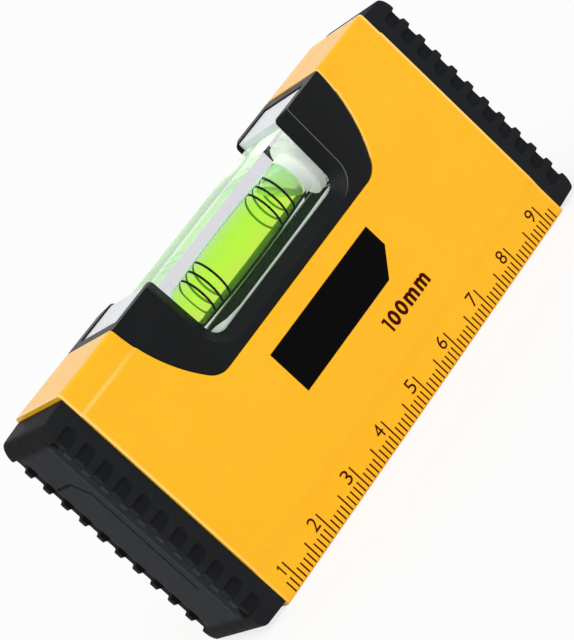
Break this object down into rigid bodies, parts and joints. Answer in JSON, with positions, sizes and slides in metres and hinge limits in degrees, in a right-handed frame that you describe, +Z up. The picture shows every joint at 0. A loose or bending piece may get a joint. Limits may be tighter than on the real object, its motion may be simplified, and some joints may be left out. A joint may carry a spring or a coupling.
{
  "type": "magnetic pocket level",
  "caption": "Short box-section pocket level with a clear block vial in its top edge, wrapped grip end caps, a ruler edge and a magnetic base.",
  "frame": {"origin": "centre of the flat magnetic base, midway along the level and midway through its depth", "axes": "+X along the level towards the end cap beside the vial's plug, -Y out of the face with the ruler, +Z up from the magnetic base to the vial"},
  "size_m": [0.1002, 0.0188, 0.0488],
  "materials": {
    "yellow_coated_aluminium": "satin powder coat",
    "black_plastic": "fine moulded texture",
    "white_plastic": "translucent",
    "clear_acrylic": "polished",
    "green_liquid": "clear liquid",
    "air": "clear",
    "ring_ink": "matte",
    "nickel_magnet": "nickel plate",
    "grey_plastic": "moulded"
  },
  "bodies": {
    "level": {"body_tube": "yellow_coated_aluminium", "end_cap_left": "black_plastic", "end_cap_right": "black_plastic", "front_surround": "black_plastic", "rear_surround": "black_plastic", "vial_carrier": "white_plastic", "vial_block": "clear_acrylic", "vial_plug": "clear_acrylic", "vial_liquid": "green_liquid", "base_magnet_left": "nickel_magnet", "base_magnet_right": "nickel_magnet", "magnet_holder_left": "grey_plastic", "magnet_holder_right": "grey_plastic", "index_ring_1": "ring_ink", "index_ring_2": "ring_ink", "index_ring_3": "ring_ink", "index_ring_4": "ring_ink", "index_ring_5": "ring_ink", "index_ring_6": "ring_ink"},
    "bubble": {"air_bubble": "air"}
  },
  "joints": [
    {"name": "bubble_slide", "type": "slide", "parent": "level", "child": "bubble", "axis": [1, 0, 0], "range_m": [-0.024, 0], "deforming": ["vial_liquid"]}
  ]
}
